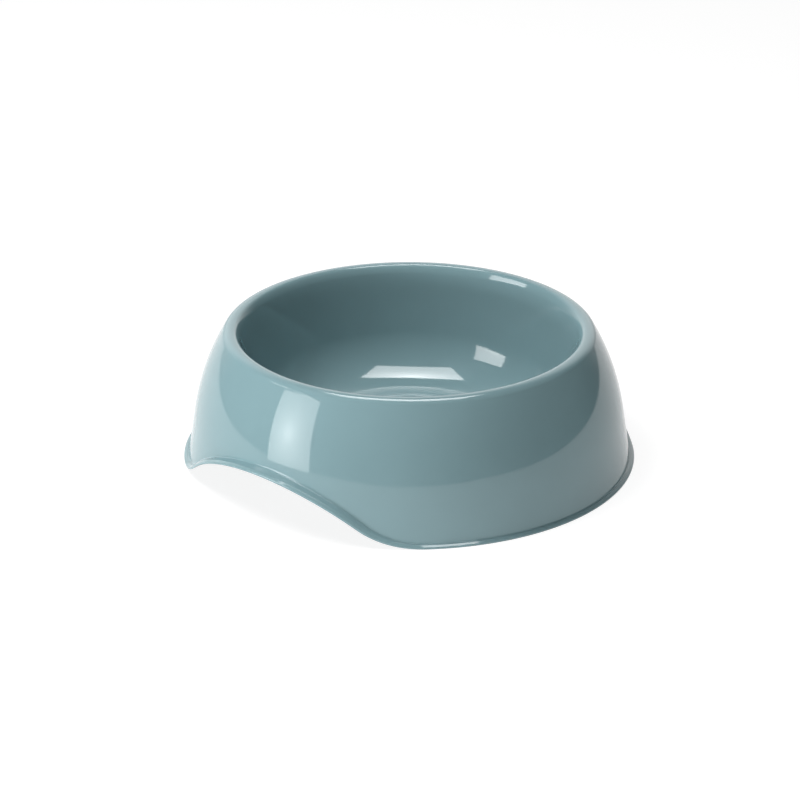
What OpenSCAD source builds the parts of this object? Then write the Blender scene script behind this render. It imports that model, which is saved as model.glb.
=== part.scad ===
// Pet food bowl, moulded in one piece.
// A deep round basin hangs from a rolled rim inside a flared skirt that is open underneath.
// Two lifting arches face +Y and -Y, and a thin lip runs round the foot and over both arches.
// Millimetres. The origin is the centre of the foot, on the floor, with +Z up.

/* [Foot and height] */
// Diameter over the lip at the foot
foot_diameter = 200; // [170:1:240]
// Height from the floor to the top of the rim
bowl_height = 60; // [54:0.5:75]
// Thickness of the moulded wall, the same everywhere
wall = 2.2; // [1.6:0.1:3]

/* [Skirt] */
// How far the lip stands out from the skirt at the floor
lip_reach = 1.9; // [0.8:0.1:4]
// Thickness of the lip
lip_thickness = 1.6; // [1:0.1:3]
// Lean of the lower skirt from the vertical, in degrees
skirt_draft = 8.6; // [4:0.2:12]
// Radius of the bulge between the straight skirt and the rim
shoulder_radius = 100; // [70:1:110]
// Lean of the skirt just under the rim, in degrees
shoulder_lean = 30.7; // [24:0.1:34]

/* [Rim and basin] */
// Outer radius of the rolled rim
rim_radius = 4.4; // [3.6:0.1:6]
// Depth of the basin under the top of the rim
basin_depth = 48.5; // [40:0.5:51]
// Lean of the basin's wall from the vertical, in degrees
basin_lean = 20; // [12:1:28]
// Radius where the basin's wall turns into its flat bottom
basin_fillet = 31.5; // [20:0.5:36]

/* [Lifting arches] */
// Clear height under the crown of each arch
arch_height = 23.3; // [12:0.1:26]
// Radius of the crown of the arch
arch_crown_radius = 80; // [60:1:90]
// Radius of the blend from the arch down to the foot
arch_foot_radius = 40; // [25:1:45]

/* [Hidden] */

plastic = "#8ea9ae";
// How far a cutting shape passes the surface that it cuts
overrun = 1;
// Two tangent outlines are set this much into each other, so that they cross at a clear point
bite = 0.002;
// How much further round a bulge's piece starts, in degrees, so that it starts inside the skirt
early = 2;

// Radius of the lip, and of the skirt's outer face at the floor
lip_r = foot_diameter / 2;
foot_r = lip_r - lip_reach;

// Centres of the rim's roll and of the shoulder's bulge, as [radius, height].
// The roll touches the bulge from inside, and the bulge touches the straight skirt.
rim_z = bowl_height - rim_radius;
roll_offset = shoulder_radius - rim_radius + bite;
shoulder_z = rim_z - roll_offset * sin(shoulder_lean);
shoulder_foot_z = shoulder_z + shoulder_radius * sin(skirt_draft);
shoulder_foot_r = foot_r - shoulder_foot_z * tan(skirt_draft);
shoulder_c = [shoulder_foot_r - shoulder_radius * cos(skirt_draft), shoulder_z];
rim_c = [shoulder_c[0] + roll_offset * cos(shoulder_lean), rim_z];

// Centre of the basin's fillet. The straight wall touches both the fillet and the rim's roll.
basin_floor_z = bowl_height - basin_depth;
fillet_z = basin_floor_z + basin_fillet;
fillet_c = [
    rim_c[0] - ((rim_z - fillet_z) * sin(basin_lean) + rim_radius + basin_fillet) / cos(basin_lean),
    fillet_z
];

// Half the angle of the crown's arc, and half the width of an arch just under the floor.
// The foot's blend ends arch_sink under the floor, so that it meets the floor at a clear edge.
arch_sink = 0.2;
arch_span_r = arch_crown_radius + arch_foot_radius - bite;
arch_angle = acos(1 - (arch_height + arch_sink) / arch_span_r);
arch_half_width = arch_span_r * sin(arch_angle);
arch_crown_c = [0, arch_height - arch_crown_radius];
arch_foot_c = [arch_half_width, arch_foot_radius - arch_sink];

// Radius, in the hollow between skirt and basin, inside which the arches and the lip do nothing.
// It lies hollow_walls wall thicknesses in from the skirt's foot.
hollow_walls = 6;
hollow_r = foot_r - hollow_walls * wall;
lip_top_z = arch_height + lip_thickness;

// Facets of the turned body, and of the arcs in the flat outlines
turn_facets = 90;
bulge_facets = 60;
roll_facets = 24;

function polar(c, r, a) = c + r * [cos(a), sin(a)];

module disc(c, r, facets) {
    translate(c)
        circle(r, $fn = facets);
}

// Half section of the body's solid outline, set in from the outer face by inset.
// It reaches the height base_z, on or below the floor.
module half_section(inset, base_z) {
    roll = rim_radius - inset;
    bulge = shoulder_radius - inset;
    fillet = basin_fillet + inset;
    base_r = foot_r - inset / cos(skirt_draft) - base_z * tan(skirt_draft);
    // How deep the bulge's own piece reaches into the body
    lap = wall;
    difference() {
        union() {
            polygon([
                [0, base_z],
                [base_r, base_z],
                polar(shoulder_c, bulge - bite, skirt_draft),
                polar(shoulder_c, bulge - lap / 2, shoulder_lean),
                polar(rim_c, roll - bite, 180 - basin_lean),
                polar(fillet_c, fillet - bite, -basin_lean),
                polar(fillet_c, fillet - bite, -90),
                [0, fillet_c[1] - fillet]
            ]);
            intersection() {
                disc(shoulder_c, bulge, bulge_facets);
                polygon([
                    polar(shoulder_c, bulge - lap, skirt_draft - early),
                    polar(shoulder_c, bulge + 2 * lap, skirt_draft - early),
                    polar(shoulder_c, bulge + 2 * lap, shoulder_lean),
                    polar(shoulder_c, bulge - lap, shoulder_lean)
                ]);
            }
            disc(rim_c, roll, roll_facets);
        }
        disc(fillet_c, fillet, bulge_facets);
    }
}

// Front view of what lies under an arch, grown outwards by grow
module under_arch(grow, base_z) {
    crown = arch_crown_radius + grow;
    blend = arch_foot_radius - grow;
    spring = polar(arch_crown_c, crown - overrun, 90 - arch_angle);
    difference() {
        union() {
            polygon([
                [-arch_half_width, base_z],
                [arch_half_width, base_z],
                arch_foot_c,
                spring,
                [-spring[0], spring[1]],
                [-arch_foot_c[0], arch_foot_c[1]]
            ]);
            intersection() {
                disc(arch_crown_c, crown, bulge_facets);
                translate([-arch_half_width, spring[1] - overrun])
                    square([2 * arch_half_width, arch_height]);
            }
        }
        for (side = [-1, 1])
            disc([side * arch_foot_c[0], arch_foot_c[1]], blend, bulge_facets);
    }
}

// A front view drawn in X and Z, run through the whole bowl along Y
module through_bowl() {
    rotate([90, 0, 0])
        linear_extrude(height = 2 * (lip_r + overrun), center = true)
            children();
}

// The lip, a flange with a round outline seen from above that climbs over both arches
module lip() {
    intersection() {
        difference() {
            cylinder(r = lip_r, h = lip_top_z + overrun, $fn = turn_facets);
            translate([0, 0, -overrun])
                cylinder(r = hollow_r, h = lip_top_z + 3 * overrun, $fn = turn_facets);
        }
        through_bowl() {
            under_arch(lip_thickness, -overrun);
            translate([-lip_r - overrun, -2 * overrun])
                square([2 * (lip_r + overrun), lip_thickness + 2 * overrun]);
        }
    }
}

// What the two arches take out of the skirt and the lip
module arches() {
    difference() {
        through_bowl() under_arch(0, -overrun);
        translate([0, 0, -2 * overrun])
            cylinder(r = hollow_r, h = lip_top_z + 3 * overrun, $fn = turn_facets);
    }
}

module bowl() {
    color(plastic)
        difference() {
            union() {
                rotate_extrude($fn = turn_facets) half_section(0, 0);
                lip();
            }
            rotate_extrude($fn = turn_facets) half_section(wall, -overrun);
            arches();
        }
}

bowl();
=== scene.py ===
import math

import bpy
import numpy as np
from mathutils import Matrix, Vector

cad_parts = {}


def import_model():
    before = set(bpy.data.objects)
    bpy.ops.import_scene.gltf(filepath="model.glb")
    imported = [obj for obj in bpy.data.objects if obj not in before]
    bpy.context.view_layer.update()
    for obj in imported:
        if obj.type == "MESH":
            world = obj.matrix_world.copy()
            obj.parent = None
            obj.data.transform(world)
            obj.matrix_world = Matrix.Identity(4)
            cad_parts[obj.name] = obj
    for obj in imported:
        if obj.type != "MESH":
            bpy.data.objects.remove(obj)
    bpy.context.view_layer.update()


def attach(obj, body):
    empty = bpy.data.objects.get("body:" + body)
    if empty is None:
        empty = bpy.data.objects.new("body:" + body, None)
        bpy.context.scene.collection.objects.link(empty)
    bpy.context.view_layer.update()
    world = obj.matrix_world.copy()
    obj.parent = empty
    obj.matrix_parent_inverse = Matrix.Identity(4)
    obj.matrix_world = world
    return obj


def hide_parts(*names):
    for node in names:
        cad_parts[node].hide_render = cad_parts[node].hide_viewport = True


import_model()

MM = 0.001

# Sizes of the bowl in millimetres and its leans in radians, the same as in the solids
LIP_R = 100.0
HEIGHT = 60.0
WALL = 2.2
FOOT_R = 98.1
LIP_THICKNESS = 1.6
DRAFT = math.radians(8.6)
SHOULDER_R = 100.0
SHOULDER_LEAN = math.radians(30.7)
RIM_R = 4.4
BASIN_DEPTH = 48.5
BASIN_FILLET = 31.5
ARCH_HEIGHT = 23.3
ARCH_CROWN_R = 80.0
ARCH_FOOT_R = 40.0

# The rim's inner edge is a little crisper than the roll of the solid. From the roll down to
# the basin's wall it is three arcs: a crest, a flank and a runout. These are their radii, and
# the directions in degrees from straight out at which each one starts.
CREST_START = 107.0
CREST_R = 1.6
FLANK_START = 125.0
FLANK_R = 3.6
RUNOUT_START = 144.0
RUNOUT_R = 12.0
# Lean of the basin's wall from the vertical, in degrees
WALL_LEAN = 20.98

# Small roundings in millimetres, which the solids leave square. The crease lies between the
# skirt and the lip's top, and the bevel runs round the lip's upper edge.
CREASE_AT_FOOT = 0.35
CREASE_IN_ARCH = 0.8
BEVEL_IN = 1.25
BEVEL_DOWN = 0.72
BEVEL_ROUND = 0.25
UNDER_ROUND = 0.35

# Steps round the bowl
TURNS = 360
# How far along a curve its direction is taken, as a share of its run
NEARBY = 1e-4
# Rounds in which the place where two faces meet settles
MEET_ROUNDS = 40

# The photograph's camera, in millimetres and radians. Its view turns VIEW_TURN from the
# bowl's own axes, and the shift sets the bowl off from the middle of the picture.
VIEW_TURN = math.radians(41.3)
CAMERA_TILT = math.radians(23.438)
CAMERA_REACH = 1473.684
CAMERA_SHIFT_X = 4.082
CAMERA_SHIFT_Y = -22.909
CAMERA_LENS = 148.879
SENSOR_WIDTH = 36
# How far the camera sees, in metres
CAMERA_SIGHT = 20

# The plastic: both ends of its mottled colour, its gloss, its fine grain and its broad orange
# peel. A scale is the number of spots in a metre, and the bump's depth is in metres.
PLASTIC_DEEP = (0.196, 0.309, 0.334)
PLASTIC_PALE = (0.204, 0.321, 0.347)
PLASTIC_IOR = 1.5
ROUGH_LOW = 0.05
ROUGH_HIGH = 0.08
MOTTLE_SCALE = 38.0
MOTTLE_DETAIL = 3.0
MOTTLE_RANGE = (0.3, 0.7)
GRAIN_SCALE = 1500.0
GRAIN_DETAIL = 2.0
GRAIN_RANGE = (0.25, 0.75)
GRAIN_BUMP = 0.06
PEEL_SCALE = 190.0
PEEL_DETAIL = 1.5
PEEL_BUMP = 0.25
BUMP_DEPTH = 0.00003

# Places in the studio are in millimetres as the camera sees them: right, away and up.
# Each lamp: its name, its azimuth and height angle in degrees, its distance, width and
# height, and its level. At level 1 a white surface that faces the lamp is white.
LAMPS = [
    ("key", 180, 62, 1000, 400, 400, 0.58),
    ("high", -165, 76, 1000, 500, 500, 0.22),
    ("top", 90, 84, 950, 650, 400, 0.2),
    ("side", -150, 4, 1100, 600, 120, 0.63),
    ("front", -90, 4, 1100, 600, 120, 0.22),
    ("right", -40, 4, 1100, 600, 120, 0.1),
]
# Level of the light that comes evenly from all sides
AMBIENT = 0.02

# Each card: its name, its four corners, its level, its brightest place as shares of its
# first and last sides, and the share of the level that is left at its edges
CARDS = [
    (
        "card_top",
        [(287, 250, 900), (258, -96, 900), (-325, -36, 900), (-320, 327, 900)],
        18.0,
        (0.15, 0.5),
        0.43,
    ),
    (
        "card_left_high",
        [(-726, -421, 476), (-871, 3, 428), (-752, 128, 625), (-616, -200, 744)],
        10.5,
        (0.6, 0.0),
        0.7,
    ),
    (
        "card_left_low",
        [(-93, -69, 75), (-70, -95, 80), (-78, -111, 26), (-104, -81, 25)],
        9.9,
        (0.45, 0.55),
        0.4,
    ),
]
# A card's bright place is a wide glow with a small core: their shares and their radii
CARD_GLOW = [(0.65, 0.35), (0.35, 0.1)]
CARD_STEPS = 16
# The flag keeps card_left_high out of the near rim
FLAG = [(-83, -49, 69), (-57, -86, 69), (-52, -86, 100), (-79, -49, 100)]

# The studio's walls: their radius, their level, and the numbers of steps up and round
ROOM_R = 2400
ROOM = 0.03
ROOM_ROWS = 60
ROOM_COLUMNS = 120
# The pale backdrop behind the table: its level, the direction of its middle, half its width
# and height, all in degrees, and how sharply it ends at its sides and at its top
BACKDROP = 1.5
BACKDROP_AZIMUTH = 92
BACKDROP_HEIGHT_ANGLE = 24
BACKDROP_HALF_WIDTH = 46
BACKDROP_HALF_HEIGHT = 26
SIDE_SHARPNESS = 6
TOP_SHARPNESS = 4

# The table: its corners, the share of light that it throws back on the bowl, and its look,
# which is a share that takes shadows and a level that is always there
TABLE = [(-520, -700, 0), (520, -700, 0), (620, 900, 0), (-620, 900, 0)]
FLOOR_BOUNCE = 0.8
FLOOR_SHADE = 0.25
FLOOR_LIFT = 0.88

# The rays that see the studio as it looks. The others only see how it lights the bowl.
SEEING_RAYS = ("Is Camera Ray", "Is Glossy Ray", "Is Transmission Ray")

# Distances between columns and rows in the node editor
NODE_COLUMN = 300
NODE_ROW = 260


def beside(centre, radius, direction):
    """The point at this radius from a centre, in a direction in degrees from straight out."""
    angle = math.radians(direction)
    return centre[0] + radius * math.cos(angle), centre[1] + radius * math.sin(angle)


# The half section: centres of its circles as a radius and a height, and where they meet
RIM_Z = HEIGHT - RIM_R
SHOULDER_Z = RIM_Z - (SHOULDER_R - RIM_R) * math.sin(SHOULDER_LEAN)
SHOULDER_FOOT_Z = SHOULDER_Z + SHOULDER_R * math.sin(DRAFT)
SHOULDER_X = FOOT_R - SHOULDER_FOOT_Z * math.tan(DRAFT) - SHOULDER_R * math.cos(DRAFT)
RIM = (SHOULDER_X + (SHOULDER_R - RIM_R) * math.cos(SHOULDER_LEAN), RIM_Z)
RIM_END = math.degrees(SHOULDER_LEAN)
CREST = beside(RIM, RIM_R - CREST_R, CREST_START)
FLANK = beside(CREST, CREST_R - FLANK_R, FLANK_START)
RUNOUT = beside(FLANK, FLANK_R - RUNOUT_R, RUNOUT_START)
RUNOUT_END = 180 - WALL_LEAN
BASIN_Z = HEIGHT - BASIN_DEPTH
FILLET_Z = BASIN_Z + BASIN_FILLET
FILLET_X = RUNOUT[0] - (
    (RUNOUT[1] - FILLET_Z) * math.sin(math.radians(WALL_LEAN)) + RUNOUT_R + BASIN_FILLET
) / math.cos(math.radians(WALL_LEAN))
FILLET = (FILLET_X, FILLET_Z)
ARCH_ANGLE = math.acos(1 - ARCH_HEIGHT / (ARCH_CROWN_R + ARCH_FOOT_R))
ARCH_HALF = (ARCH_CROWN_R + ARCH_FOOT_R) * math.sin(ARCH_ANGLE)

turn = np.linspace(0, 2 * np.pi, TURNS, endpoint=False)
cos_turn = np.cos(turn)
sin_turn = np.sin(turn)


def skirt(z, inset):
    """Radius of the skirt at height z, set in from its outer face."""
    foot_z = SHOULDER_Z + (SHOULDER_R - inset) * math.sin(DRAFT)
    straight = FOOT_R - inset / math.cos(DRAFT) - z * math.tan(DRAFT)
    bulge = SHOULDER_X + np.sqrt((SHOULDER_R - inset) ** 2 - (z - SHOULDER_Z) ** 2)
    return np.where(z < foot_z, straight, bulge)


def edge(x, grow):
    """Height of the arch's edge, or with grow of the lip's top, x from the middle plane."""
    x = np.abs(x)
    crown = ARCH_CROWN_R + grow
    blend = ARCH_FOOT_R - grow
    over = ARCH_HEIGHT - ARCH_CROWN_R + np.sqrt(np.maximum(crown**2 - x**2, 0))
    down = ARCH_FOOT_R - np.sqrt(np.maximum(blend**2 - (x - ARCH_HALF) ** 2, 0))
    beyond = np.where(x < ARCH_HALF, down, grow)
    return np.where(x < crown * math.sin(ARCH_ANGLE), over, beyond)


def on_edge(radius, grow):
    """Points of the arch's edge, or with grow of the lip's top, at this radius."""
    return radius, edge(radius * cos_turn, grow)


def ring(radius):
    """A radius or a height that is the same all the way round."""
    return np.full(TURNS, radius)


def meet(inset, grow):
    """Where the skirt's face meets the arch's edge or the lip's top, all the way round."""
    z = ring(grow)
    for _ in range(MEET_ROUNDS):
        z = edge(skirt(z, inset) * cos_turn, grow)
    return skirt(z, inset), z


# Each curve of the half section gives a radius and a height for t from 0 to 1. Both are
# one number, or one for each step round the bowl.
def line(a, b):
    def at(t):
        return a[0] + (b[0] - a[0]) * t, a[1] + (b[1] - a[1]) * t

    return at


def arc(centre, radius, start, end):
    def at(t):
        return beside(centre, radius, start + (end - start) * t)

    return at


def bend(a, corner, b):
    """A rounded corner from a to b, tangent to both legs."""
    leg_a = np.stack(np.broadcast_arrays(a[0] - corner[0], a[1] - corner[1]))
    leg_b = np.stack(np.broadcast_arrays(b[0] - corner[0], b[1] - corner[1]))
    lengths = np.sqrt((leg_a**2).sum(0) * (leg_b**2).sum(0))
    cosine = np.clip((leg_a * leg_b).sum(0) / lengths, -1, 1)
    weight = np.sin(np.arccos(cosine) / 2)

    def at(t):
        wa, wc, wb = (1 - t) ** 2, 2 * t * (1 - t) * weight, t**2
        total = wa + wc + wb
        return tuple((wa * a[i] + wc * corner[i] + wb * b[i]) / total for i in range(2))

    return at


def along_edge(r0, r1, grow):
    """Along the arch's edge, or with grow along the lip's top, from one radius to another."""

    def at(t):
        return on_edge(r0 + (r1 - r0) * t, grow)

    return at


def up_skirt(z0, z1, inset):
    """Along the skirt's outer face, or with inset further in, from one height to another."""

    def at(t):
        z = z0 + (z1 - z0) * t
        return skirt(z, inset), z

    return at


def heading(curve):
    """Where a curve heads at its start, as radius and height over its whole run."""
    start, after = curve(0), curve(NEARBY)
    return [(after[i] - start[i]) / NEARBY for i in range(2)]


def crossing(curve_a, curve_b):
    """Where the tangents at the starts of two curves cross."""
    a, b = curve_a(0), curve_b(0)
    da, db = heading(curve_a), heading(curve_b)
    share = ((b[0] - a[0]) * db[1] - (b[1] - a[1]) * db[0]) / (da[0] * db[1] - da[1] * db[0])
    return a[0] + da[0] * share, a[1] + da[1] * share


def basin_and_rim():
    """From the basin's middle up its wall and over the rim, to the top of the skirt."""
    fillet = arc(FILLET, BASIN_FILLET, -90, -WALL_LEAN)
    runout = arc(RUNOUT, RUNOUT_R, RUNOUT_END, RUNOUT_START)
    return [
        (line((0, BASIN_Z), (FILLET_X, BASIN_Z)), 6),
        (fillet, 36),
        (line(fillet(1), runout(0)), 6),
        (runout, 10),
        (arc(FLANK, FLANK_R, RUNOUT_START, FLANK_START), 10),
        (arc(CREST, CREST_R, FLANK_START, CREST_START), 8),
        (arc(RIM, RIM_R, CREST_START, RIM_END), 26),
    ]


def skirt_and_lip_top():
    """Down the skirt, round the crease and out over the lip, to the end of its bevel."""
    corner_r, corner_z = meet(0.0, LIP_THICKNESS)
    rise = np.clip(corner_z / ARCH_HEIGHT, 0, 1)
    crease = CREASE_AT_FOOT + (CREASE_IN_ARCH - CREASE_AT_FOOT) * rise
    skirt_end = corner_z + crease
    flange_r = corner_r + crease
    into_corner = up_skirt(skirt_end, corner_z, 0.0)
    out_of_corner = along_edge(flange_r, LIP_R, LIP_THICKNESS)
    crease_corner = crossing(into_corner, out_of_corner)
    bevel_r = ring(LIP_R - BEVEL_IN)
    slope = along_edge(bevel_r, LIP_R, LIP_THICKNESS)
    bevel_in = slope(0)
    bevel_z = bevel_in[1] + heading(slope)[1] - BEVEL_DOWN
    bevel_out = (ring(LIP_R), bevel_z)
    round_in = line(bevel_in, bevel_out)(1 - BEVEL_ROUND / BEVEL_IN)
    round_out = (ring(LIP_R), bevel_z - BEVEL_ROUND)
    return [
        (up_skirt(RIM_Z + RIM_R * math.sin(SHOULDER_LEAN), skirt_end, 0.0), 40),
        (bend(into_corner(0), crease_corner, out_of_corner(0)), 9),
        (along_edge(flange_r, bevel_r, LIP_THICKNESS), 3),
        (line(bevel_in, round_in), 6),
        (bend(round_in, bevel_out, round_out), 6),
    ]


def lip_foot(start, inner):
    """Down the lip's outer face and in under it, to the skirt's inner face."""
    low_z = edge(LIP_R * cos_turn, 0.0)
    low_out = (ring(LIP_R), low_z + UNDER_ROUND)
    low_in = on_edge(ring(LIP_R - UNDER_ROUND), 0.0)
    under_end = on_edge(inner[0] + UNDER_ROUND, 0.0)
    inner_low = (skirt(inner[1] + UNDER_ROUND, WALL), inner[1] + UNDER_ROUND)
    return [
        (line(start, low_out), 2),
        (bend(low_out, (ring(LIP_R), low_z), low_in), 3),
        (along_edge(low_in[0], under_end[0], 0.0), 4),
        (bend(under_end, inner, inner_low), 3),
    ]


def underside(inner):
    """Up the skirt's inner face and down the basin's outer one, to the middle again."""
    under_rim = arc(RIM, RIM_R - WALL, RIM_END, RUNOUT_END)
    under_fillet = arc(FILLET, BASIN_FILLET + WALL, -WALL_LEAN, -90)
    under_z = BASIN_Z - WALL
    return [
        (up_skirt(inner[1] + UNDER_ROUND, under_rim(0)[1], WALL), 24),
        (under_rim, 18),
        (line(under_rim(1), under_fillet(0)), 6),
        (under_fillet, 24),
        (line((FILLET_X, under_z), (0, under_z)), 5),
    ]


def section():
    """The wall's closed half section as pairs of a curve and its number of steps. It starts
    and ends in the basin's middle, and goes over the rim and round the lip."""
    inner = meet(WALL, 0.0)
    outside = basin_and_rim() + skirt_and_lip_top()
    last_curve = outside[-1][0]
    return outside + lip_foot(last_curve(1), inner) + underside(inner)


def ring_at(curve, t):
    """Radii and heights of a curve's point, one for each step round the bowl."""
    return np.array([np.broadcast_to(v, TURNS) for v in curve(t)])


def surface():
    """Places and normals of the turned half section, as one ring for each of its steps."""
    points, tangents = [], []
    for curve, steps in section():
        for k in range(1 if points else 0, steps + 1):
            t = k / steps
            points.append(ring_at(curve, t))
            after = ring_at(curve, min(t + NEARBY, 1))
            before = ring_at(curve, max(t - NEARBY, 0))
            tangents.append(after - before)
    points, tangents = np.array(points), np.array(tangents)
    tangents /= np.sqrt((tangents**2).sum(1, keepdims=True))
    r, z = points[:, 0], points[:, 1]
    dr, dz = tangents[:, 0], tangents[:, 1]
    places = np.stack([r * cos_turn, r * sin_turn, z], axis=-1)
    along = np.stack([dr * cos_turn, dr * sin_turn, dz], axis=-1)
    around = np.roll(places, -1, axis=1) - np.roll(places, 1, axis=1)
    normals = np.cross(along, around)
    tiny = 1e-12
    normals /= np.maximum(np.linalg.norm(normals, axis=-1, keepdims=True), tiny)
    return places, normals


def bowl_faces(rings):
    """Faces between the rings, and a fan at each end, round a point after the last ring."""
    here = np.arange(TURNS)
    ahead = (here + 1) % TURNS
    faces = []
    for i in range(rings - 1):
        a, b = i * TURNS, (i + 1) * TURNS
        faces += np.stack([a + here, b + here, b + ahead, a + ahead], axis=1).tolist()
    upper, lower = rings * TURNS, rings * TURNS + 1
    last_ring = (rings - 1) * TURNS
    pairs = list(zip(here.tolist(), ahead.tolist()))
    faces += [[upper, a, b] for a, b in pairs]
    faces += [[lower, last_ring + b, last_ring + a] for a, b in pairs]
    return faces


def bowl_piece():
    """The whole bowl as one closed mesh with exact normals."""
    places, normals = surface()
    rings = places[1:-1]
    ends = [places[0, 0], places[-1, 0]]
    verts = np.concatenate([rings.reshape(-1, 3), ends]) * MM
    normals = np.concatenate([normals[1:-1].reshape(-1, 3), [[0, 0, 1], [0, 0, -1]]])
    mesh = bpy.data.meshes.new("bowl_skin")
    mesh.from_pydata(verts.tolist(), [], bowl_faces(len(rings)))
    mesh.update()
    mesh.polygons.foreach_set("use_smooth", [True] * len(mesh.polygons))
    mesh.normals_split_custom_set_from_vertices(normals.tolist())
    piece = bpy.data.objects.new("bowl_skin", mesh)
    bpy.context.scene.collection.objects.link(piece)
    return piece


def grey(level):
    """A colour that is as bright in red, green and blue, with full alpha."""
    return (level, level, level, 1)


def node(tree, kind, column=0, row=0, **values):
    """A new node at a place in the node editor, with some of its inputs set by name."""
    made = tree.nodes.new(kind)
    made.location = (NODE_COLUMN * column, -NODE_ROW * row)
    for name, value in values.items():
        made.inputs[name.replace("_", " ")].default_value = value
    return made


def empty_material(name):
    """A new material whose node tree holds nothing yet."""
    made = bpy.data.materials.new(name)
    made.use_nodes = True
    made.node_tree.nodes.clear()
    return made


def plastic():
    """Glossy moulded plastic: faint mottling, uneven gloss and a fine orange-peel bump."""
    made = empty_material("bowl_plastic")
    tree = made.node_tree
    link = tree.links.new
    place = node(tree, "ShaderNodeTexCoord")
    mottle = node(tree, "ShaderNodeTexNoise", 1, 0, Scale=MOTTLE_SCALE, Detail=MOTTLE_DETAIL)
    grain = node(tree, "ShaderNodeTexNoise", 1, 1, Scale=GRAIN_SCALE, Detail=GRAIN_DETAIL)
    peel = node(tree, "ShaderNodeTexNoise", 1, 2, Scale=PEEL_SCALE, Detail=PEEL_DETAIL)
    for texture in (mottle, grain, peel):
        link(place.outputs["Object"], texture.inputs["Vector"])
    tint = node(tree, "ShaderNodeValToRGB", 2, 0)
    ends = zip(tint.color_ramp.elements, MOTTLE_RANGE, (PLASTIC_DEEP, PLASTIC_PALE))
    for end, position, colour in ends:
        end.position = position
        end.color = (*colour, 1)
    gloss = node(
        tree,
        "ShaderNodeMapRange",
        2,
        1,
        From_Min=GRAIN_RANGE[0],
        From_Max=GRAIN_RANGE[1],
        To_Min=ROUGH_LOW,
        To_Max=ROUGH_HIGH,
    )
    fine = node(tree, "ShaderNodeBump", 2, 2, Strength=GRAIN_BUMP, Distance=BUMP_DEPTH)
    broad = node(tree, "ShaderNodeBump", 3, 2, Strength=PEEL_BUMP, Distance=BUMP_DEPTH)
    shader = node(tree, "ShaderNodeBsdfPrincipled", 4, 0, IOR=PLASTIC_IOR)
    out = node(tree, "ShaderNodeOutputMaterial", 5, 0)
    link(mottle.outputs["Fac"], tint.inputs["Fac"])
    link(tint.outputs["Color"], shader.inputs["Base Color"])
    link(grain.outputs["Fac"], gloss.inputs["Value"])
    link(gloss.outputs["Result"], shader.inputs["Roughness"])
    link(grain.outputs["Fac"], fine.inputs["Height"])
    link(fine.outputs["Normal"], broad.inputs["Normal"])
    link(peel.outputs["Fac"], broad.inputs["Height"])
    link(broad.outputs["Normal"], shader.inputs["Normal"])
    link(shader.outputs["BSDF"], out.inputs["Surface"])
    return made


def turned(x, y, z):
    """A place given as the camera sees it (right, away, up; millimetres) on the bowl's axes."""
    c, s = math.cos(VIEW_TURN), math.sin(VIEW_TURN)
    return Vector(((x * c - y * s) * MM, (x * s + y * c) * MM, z * MM))


def toward(azimuth, height_angle, distance):
    """A place at a distance from the bowl, in a direction in degrees as the camera sees it."""
    a, e = math.radians(azimuth), math.radians(height_angle)
    level = distance * math.cos(e)
    return turned(level * math.cos(a), level * math.sin(a), distance * math.sin(e))


def camera():
    """The photograph's camera, which looks away from itself and down by its tilt."""
    data = bpy.data.cameras.new("camera")
    data.lens = CAMERA_LENS
    data.sensor_width = SENSOR_WIDTH
    data.clip_end = CAMERA_SIGHT
    made = bpy.data.objects.new("camera", data)
    bpy.context.scene.collection.objects.link(made)
    s, c = math.sin(CAMERA_TILT), math.cos(CAMERA_TILT)
    made.location = turned(
        -CAMERA_SHIFT_X,
        -CAMERA_SHIFT_Y * s - CAMERA_REACH * c,
        -CAMERA_SHIFT_Y * c + CAMERA_REACH * s,
    )
    metre = 1 / MM
    right = turned(metre, 0, 0)
    up = turned(0, metre * s, metre * c)
    back = turned(0, -metre * c, metre * s)
    made.rotation_mode = "QUATERNION"
    made.rotation_quaternion = Matrix((right, up, back)).transposed().to_quaternion()
    bpy.context.scene.camera = made


def ray_mix(tree, seen, other):
    """Shows one shader to the seeing rays and the other to the rest."""
    path = node(tree, "ShaderNodeLightPath")
    total = path.outputs[SEEING_RAYS[0]]
    for row, name in enumerate(SEEING_RAYS[1:]):
        either = node(tree, "ShaderNodeMath", 1, row)
        either.operation = "MAXIMUM"
        tree.links.new(total, either.inputs[0])
        tree.links.new(path.outputs[name], either.inputs[1])
        total = either.outputs[0]
    mix = node(tree, "ShaderNodeMixShader", 2)
    tree.links.new(total, mix.inputs[0])
    tree.links.new(other, mix.inputs[1])
    tree.links.new(seen, mix.inputs[2])
    return mix.outputs[0]


def stage_mesh(name, verts, faces, material):
    """A part of the studio, which doesn't belong to the bowl."""
    mesh = bpy.data.meshes.new(name)
    mesh.from_pydata([tuple(v) for v in verts], [], faces)
    mesh.materials.append(material)
    made = bpy.data.objects.new(name, mesh)
    bpy.context.scene.collection.objects.link(made)
    return made


def glow(name):
    """A material that only shines, with a level from each point of its mesh."""
    made = empty_material(name)
    tree = made.node_tree
    level = node(tree, "ShaderNodeAttribute")
    level.attribute_name = "glow"
    shine = node(tree, "ShaderNodeEmission", 1, Color=grey(1))
    out = node(tree, "ShaderNodeOutputMaterial", 2)
    tree.links.new(level.outputs["Fac"], shine.inputs["Strength"])
    tree.links.new(shine.outputs[0], out.inputs["Surface"])
    return made


def reflected_mesh(name, verts, faces, levels):
    """A shining part of the studio that only shows in reflections."""
    made = stage_mesh(name, verts, faces, glow(name))
    glowing = made.data.attributes.new("glow", "FLOAT", "POINT")
    glowing.data.foreach_set("value", levels)
    made.visible_camera = False
    made.visible_diffuse = False
    made.visible_transmission = False
    made.visible_volume_scatter = False
    made.visible_shadow = False


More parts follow.
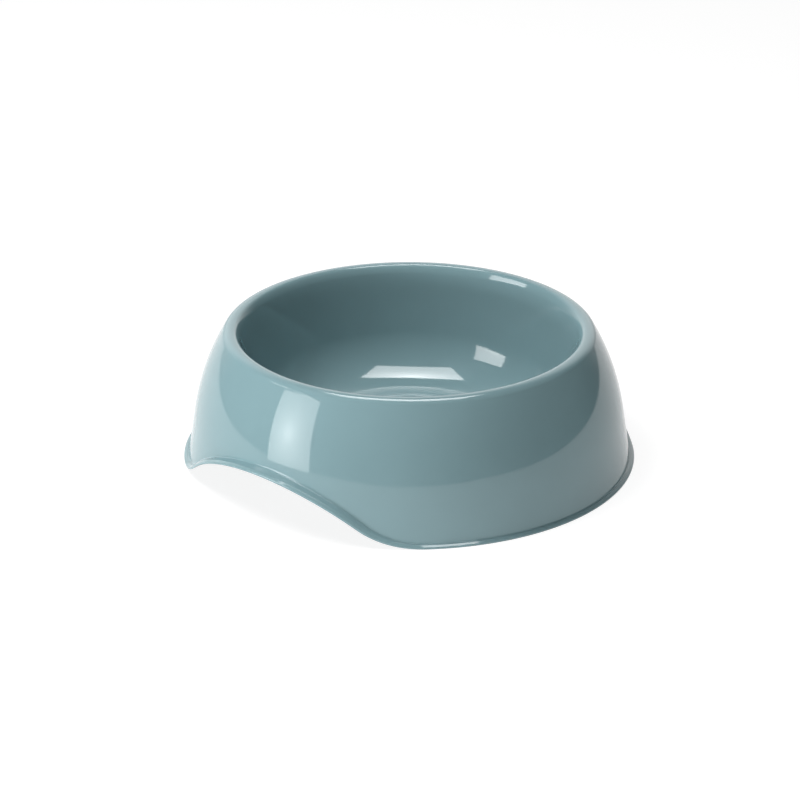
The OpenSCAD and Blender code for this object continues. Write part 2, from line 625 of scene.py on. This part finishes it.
def grid_faces(rows, columns, wrap=False):
    """Faces of a grid of points, row by row. With wrap each row is closed to a ring."""
    faces = []
    for i in range(rows - 1):
        a, b = i * columns, (i + 1) * columns
        for k in range(columns if wrap else columns - 1):
            k1 = (k + 1) % columns
            faces.append((a + k, a + k1, b + k1, b + k))
    return faces


def card(name, corners, level, centre, dim):
    """A softbox's face, brightest at its centre and down to the share dim at its edges."""
    corners = [np.array(turned(*c)) for c in corners]
    verts, levels = [], []
    for i in range(CARD_STEPS + 1):
        for k in range(CARD_STEPS + 1):
            u, v = i / CARD_STEPS, k / CARD_STEPS
            near = corners[0] * (1 - v) + corners[3] * v
            far = corners[1] * (1 - v) + corners[2] * v
            verts.append(near * (1 - u) + far * u)
            away = math.hypot(u - centre[0], v - centre[1])
            bulb = sum(share * math.exp(-((away / radius) ** 2)) for share, radius in CARD_GLOW)
            levels.append(level * (dim + (1 - dim) * bulb))
    faces = grid_faces(CARD_STEPS + 1, CARD_STEPS + 1)
    reflected_mesh(name, verts, faces, levels)


def flag():
    """A dark face that hides a card from the near rim."""
    corners = [turned(*c) for c in FLAG]
    reflected_mesh("flag", corners, [(0, 1, 2, 3)], [ROOM] * len(corners))


def surround(azimuth, height_angle):
    """Level of the studio's walls in a direction: dark, but for the backdrop."""
    across = (azimuth - BACKDROP_AZIMUTH) / BACKDROP_HALF_WIDTH
    above = (height_angle - BACKDROP_HEIGHT_ANGLE) / BACKDROP_HALF_HEIGHT
    return ROOM + BACKDROP * math.exp(-(across**SIDE_SHARPNESS + above**TOP_SHARPNESS))


def room():
    """The studio's walls, all round the set."""
    verts, levels = [], []
    for i in range(ROOM_ROWS + 1):
        for k in range(ROOM_COLUMNS):
            azimuth = 360 * k / ROOM_COLUMNS
            height_angle = 180 * i / ROOM_ROWS - 90
            verts.append(toward(azimuth, height_angle, ROOM_R))
            levels.append(surround(azimuth, height_angle))
    faces = grid_faces(ROOM_ROWS + 1, ROOM_COLUMNS, wrap=True)
    reflected_mesh("room", verts, faces, levels)


def floor():
    """The table, which looks white and throws a little less light back on the bowl."""
    made = empty_material("floor")
    tree = made.node_tree
    bounce = node(tree, "ShaderNodeBsdfDiffuse", 0, 2, Color=grey(FLOOR_BOUNCE))
    shade = node(tree, "ShaderNodeBsdfDiffuse", 0, 3, Color=grey(FLOOR_SHADE))
    lift = node(tree, "ShaderNodeEmission", 0, 4, Color=grey(1), Strength=FLOOR_LIFT)
    both = node(tree, "ShaderNodeAddShader", 1, 3)
    out = node(tree, "ShaderNodeOutputMaterial", 3)
    tree.links.new(shade.outputs[0], both.inputs[0])
    tree.links.new(lift.outputs[0], both.inputs[1])
    mixed = ray_mix(tree, both.outputs[0], bounce.outputs[0])
    tree.links.new(mixed, out.inputs["Surface"])
    stage_mesh("floor", [turned(*c) for c in TABLE], [(0, 1, 2, 3)], made)


def lamp(name, azimuth, height_angle, distance, width, tall, level):
    """A softbox that lights the bowl. Reflections show the cards instead of the lamps."""
    data = bpy.data.lights.new(name, "AREA")
    data.shape = "RECTANGLE"
    data.size = width * MM
    data.size_y = tall * MM
    data.energy = level * (math.pi * distance * MM) ** 2
    made = bpy.data.objects.new(name, data)
    made.location = toward(azimuth, height_angle, distance)
    made.rotation_mode = "QUATERNION"
    made.rotation_quaternion = (-made.location).to_track_quat("-Z", "Y")
    made.visible_glossy = False
    made.visible_camera = False
    bpy.context.scene.collection.objects.link(made)


def world():
    """White wherever it is seen, and a little even light."""
    made = bpy.data.worlds.new("studio")
    made.use_nodes = True
    bpy.context.scene.world = made
    tree = made.node_tree
    tree.nodes.clear()
    white = node(tree, "ShaderNodeBackground", 0, 2, Color=grey(1), Strength=1.0)
    soft = node(tree, "ShaderNodeBackground", 0, 3, Color=grey(1), Strength=AMBIENT)
    out = node(tree, "ShaderNodeOutputWorld", 3)
    mixed = ray_mix(tree, white.outputs[0], soft.outputs[0])
    tree.links.new(mixed, out.inputs["Surface"])


bowl = bowl_piece()
bowl.data.materials.append(plastic())
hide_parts("bowl")
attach(bowl, "root")

floor()
room()
for values in CARDS:
    card(*values)
flag()
for values in LAMPS:
    lamp(*values)
world()
camera()
bpy.context.scene.view_settings.view_transform = "Standard"
